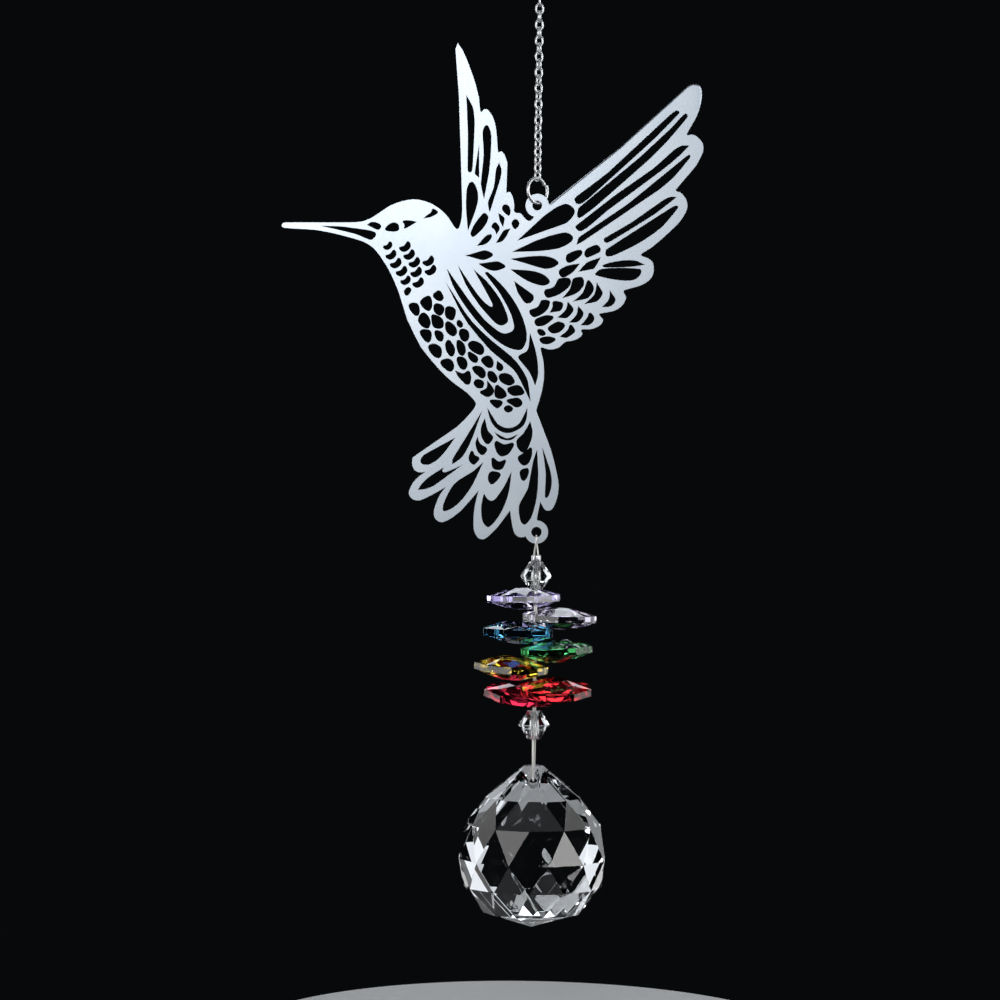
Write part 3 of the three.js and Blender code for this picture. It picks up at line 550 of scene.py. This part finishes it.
def wire_places():
    """The wire's way from the crimp over the lower tab, down through the beads and the ball, and back.

    Its bends are set out in wire widths.
    """
    half = WIRE_DIAMETER / 2
    strand = half + STRAND_GAP / 2
    spread = CRIMP_HOLE / 2 - half - STRAND_GAP
    crimp_top, crimp_foot = top_mm("crimp_bead"), foot_mm("crimp_bead")
    lower_hole = crimp_top + LOOP_DROP
    tab_foot = lower_hole - TAB_DIAMETER / 2
    halfway = (crimp_top + tab_foot) / 2
    diagonal = math.sqrt(0.5)
    loop = diagonal * PLATE_THICKNESS + half + STRAND_GAP
    loop_centre = lower_hole - LOWER_TAB_HOLE / 2 - PLATE_THICKNESS / 2
    arc = diagonal * loop
    first_bead, last_bead = foot_mm("upper_clear_bead"), foot_mm("lower_clear_bead")
    ball_top = top_mm("crystal_ball")
    ceiling = ball_top - BALL_TOP + BALL_HOLE_HEIGHT + BALL_HOLE / 2
    off = half + STRAND_GAP
    flat = BALL_TOP_FLAT / 2
    lip = flat + (ball_top - ceiling) / BALL_FALL
    over_the_tab = [
        (-0.7 * spread, -0.4 * loop, halfway),
        (-0.2 * spread, -loop, tab_foot),
        (0, -loop, loop_centre),
        (0, -arc, loop_centre + arc),
        (0, 0, loop_centre + loop),
    ]
    through_the_ball = [
        (strand, 0.4 * flat, ball_top + 0.6 * BALL_DROP),
        (strand, flat + off, ball_top + off),
        (strand, lip, ceiling + 2 * off),
        (strand, lip + 1.6 * off, ceiling + 0.4 * off),
        (0.6 * strand, lip + 0.8 * off, ceiling - 1.1 * off),
        (0, 0, ceiling - 1.4 * off),
    ]
    middle = (crimp_top + crimp_foot) / 2
    return [
        (-spread, 0, middle + half),
        (-spread, 0, crimp_top),
        *over_the_tab,
        *half_turn(over_the_tab[:-1]),
        (spread, 0, crimp_top),
        (spread, 0, crimp_foot),
        (strand, 0, first_bead),
        (strand, 0, last_bead),
        *through_the_ball,
        *half_turn(through_the_ball[:-1]),
        (-strand, 0, last_bead),
        (-strand, 0, first_bead),
        (-spread, 0, crimp_foot),
        (-spread, 0, middle - half),
    ]


def half_turn(places):
    """The same places half a turn round the strand, in the other order."""
    return [(-x, -y, z) for x, y, z in reversed(places)]


def beading_wire():
    """One round wire along its whole way."""
    line = centre_mm("crimp_bead").x
    places = wire_places()
    curve = bpy.data.curves.new("beading_wire_line", "CURVE")
    curve.dimensions = "3D"
    curve.bevel_depth = WIRE_DIAMETER / 2 * MM
    curve.bevel_resolution = BEADING_WIRE_BEVEL
    curve.resolution_u = BEADING_WIRE_STEPS
    curve.use_fill_caps = True
    spline = curve.splines.new("BEZIER")
    spline.bezier_points.add(len(places) - 1)
    for point, (x, y, z) in zip(spline.bezier_points, places):
        point.co = Vector((line + x, y, z)) * MM
        point.handle_left_type = "AUTO"
        point.handle_right_type = "AUTO"
    return joined(curve, "beading_wire_line", ["beading_wire"], [coated_wire])


def pressed_crimp():
    """A short tube with round edges, pressed in at the front and back."""
    middle = centre_mm("crimp_bead")
    half = middle.z - foot_mm("crimp_bead")
    outer = CRIMP_DIAMETER / 2
    inner = CRIMP_HOLE / 2
    shape = bmesh.new()
    section = [(inner, -half), (inner, half)]
    for turn in (90, 60, 30, 0):
        across = CRIMP_EDGE * math.cos(math.radians(turn))
        up = CRIMP_EDGE * math.sin(math.radians(turn))
        section.append((outer - CRIMP_EDGE + across, half - CRIMP_EDGE + up))
    section += [(x, -z) for x, z in reversed(section[2:])]
    corners = [shape.verts.new((x, 0, z)) for x, z in section]
    edges = [shape.edges.new((corners[i - 1], corners[i])) for i in range(len(corners))]
    bmesh.ops.spin(
        shape, geom=[*corners, *edges], cent=Vector(), axis=Vector((0, 0, 1)), angle=2 * math.pi,
        steps=CRIMP_STEPS, use_merge=True,
    )
    bmesh.ops.recalc_face_normals(shape, faces=shape.faces)
    for corner in shape.verts:
        if Vector(corner.co.xy).length > inner + CRIMP_EDGE / 2:
            corner.co.y *= 1 - CRIMP_DENT * math.exp(-(corner.co.x / CRIMP_DENT_WIDTH) ** 2)
    bmesh.ops.translate(shape, vec=middle, verts=shape.verts)
    mesh = mesh_of(shape, "pressed_crimp")
    return finished(
        mesh, "pressed_crimp", ["crimp_bead"], [wire_steel], ROUND_SMOOTH_ANGLE,
    )


# Stones

def drilled(face, along, holes):
    """Whether a face is the wall of one of the holes that run in a direction through these points."""
    if abs(face.normal.dot(along)) > DRILL_SLANT:
        return False
    middle = face.calc_center_median()
    for hole in holes:
        off = middle - hole
        if (off - off.dot(along) * along).length < DRILL_REACH:
            return True
    return False


def stone(node, name, glass, ground, along, holes):
    """A stone with flat polished facets, hair-fine edges between them and rougher walls in its holes."""
    shape = merged_copy(node)
    bmesh.ops.dissolve_limit(
        shape, angle_limit=math.radians(SAME_PLANE), verts=shape.verts, edges=shape.edges,
        use_dissolve_boundaries=False,
    )
    shape.normal_update()
    for face in shape.faces:
        if drilled(face, along, holes):
            face.material_index = 1
            face.smooth = True
    ridges = []
    for edge in shape.edges:
        polished = all(face.material_index == 0 for face in edge.link_faces)
        if polished and math.degrees(edge.calc_face_angle(0)) > FLAT_TURN:
            ridges.append(edge)
    bmesh.ops.bevel(
        shape, geom=ridges, offset=FACET_EDGE, offset_type="OFFSET", affect="EDGES", segments=1,
        profile=0.5, material=-1, clamp_overlap=True,
    )
    return finished(mesh_of(shape, name), name, [node], [glass, ground])


def octagon_beads():
    """Each octagon has a hole near one rim, on the strand, and another as near the opposite rim."""
    strand = centre_mm("lower_clear_bead")
    for colour in OCTAGON_COLOURS:
        node = f"octagon_bead_{colour}"
        middle = centre_mm(node)
        near = Vector((strand.x, strand.y, middle.z))
        far = 2 * middle - near
        stone(
            node, f"cut_octagon_{colour}", coloured[colour], washed_wall,
            Vector((0, 0, 1)), [near, far],
        )


def clear_beads():
    for place in ("upper", "lower"):
        node = f"{place}_clear_bead"
        stone(
            node, f"cut_bead_{place}", crystal, washed_wall, Vector((0, 0, 1)),
            [centre_mm(node)],
        )


def crystal_ball():
    hole = centre_mm("crystal_ball")
    hole.y = 0
    hole.z = top_mm("crystal_ball") - BALL_TOP + BALL_HOLE_HEIGHT
    return stone(
        "crystal_ball", "cut_ball", crystal, ground_wall, Vector((0, 1, 0)), [hole],
    )


# Studio

def soft_light(name, place, size, watts, colour):
    """A rectangular lamp that faces the middle of the object."""
    lamp = bpy.data.lights.new(name, "AREA")
    lamp.shape = "RECTANGLE"
    lamp.size = size[0] * MM
    lamp.size_y = size[1] * MM
    lamp.energy = watts
    lamp.color = linear(colour)[:3]
    light = bpy.data.objects.new(name, lamp)
    light.location = Vector(place) * MM
    light.rotation_euler = (Vector(LAMP_AIM) - Vector(place)).to_track_quat("-Z", "Y").to_euler()
    bpy.context.scene.collection.objects.link(light)


def pale_floor():
    """A round matt floor under the ball, faintly speckled."""
    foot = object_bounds()[0].z
    shape = bmesh.new()
    bmesh.ops.create_circle(shape, cap_ends=True, segments=FLOOR_SIDES, radius=FLOOR_RADIUS * MM)
    bmesh.ops.translate(shape, vec=Vector((0, 0, foot - FLOOR_DROP * MM)), verts=shape.verts)
    mesh = mesh_of(shape, "floor")
    paint = new_material("matt_pale_floor")
    speck = noise_over(paint, 2)
    shaded(paint, {"Base Color": tinted(paint, speck, "#c6c7c8", "#cccdce"), "Roughness": 0.6})
    mesh.materials.append(paint)
    floor = bpy.data.objects.new("floor", mesh)
    bpy.context.scene.collection.objects.link(floor)


def studio():
    """A pale floor, soft lamps in front, at the sides and behind, and a dark neutral room."""
    pale_floor()
    world = bpy.data.worlds.new("dark_room")
    world.use_nodes = True
    world.node_tree.nodes["Background"].inputs[0].default_value = linear("#08090a")
    bpy.context.scene.world = world
    for name, (place, size, watts, colour) in LAMPS.items():
        soft_light(name, place, size, watts, colour)


def camera():
    """A level camera in front of the object, with the photograph's viewing angle and roll."""
    lens = bpy.data.cameras.new("camera")
    lens.sensor_width = SENSOR_WIDTH
    lens.lens = SENSOR_WIDTH * CAMERA_DISTANCE / VIEW_WIDTH
    lens.clip_start = NEAREST_SEEN * MM
    lens.clip_end = FARTHEST_SEEN * MM
    eye = bpy.data.objects.new("camera", lens)
    eye.location = (Vector(CAMERA_AIM) - Vector((0, CAMERA_DISTANCE, 0))) * MM
    eye.rotation_euler = (math.pi / 2, -math.radians(CAMERA_ROLL), 0)
    bpy.context.scene.collection.objects.link(eye)
    bpy.context.scene.camera = eye


satin = satin_stainless_sheet()
wire_steel = polished_stainless_wire()
coated_wire = coated_beading_wire()
crystal = cut_glass("clear_lead_crystal", "#fbfdff")
ground_wall = drilled_glass("ground_drill_wall", clear=0.15, least=0.5, most=0.7)
washed_wall = drilled_glass("acid_polished_drill_wall", clear=1, least=0.08, most=0.2)
coloured = {name: cut_glass(f"{name}_cut_glass", code) for name, code in OCTAGON_COLOURS.items()}

camera()
hummingbird_sheet()
hanging_ring()
chain_links()
jump_ring()
beading_wire()
pressed_crimp()
clear_beads()
octagon_beads()
crystal_ball()
studio()
bpy.context.scene.view_settings.view_transform = "Standard"
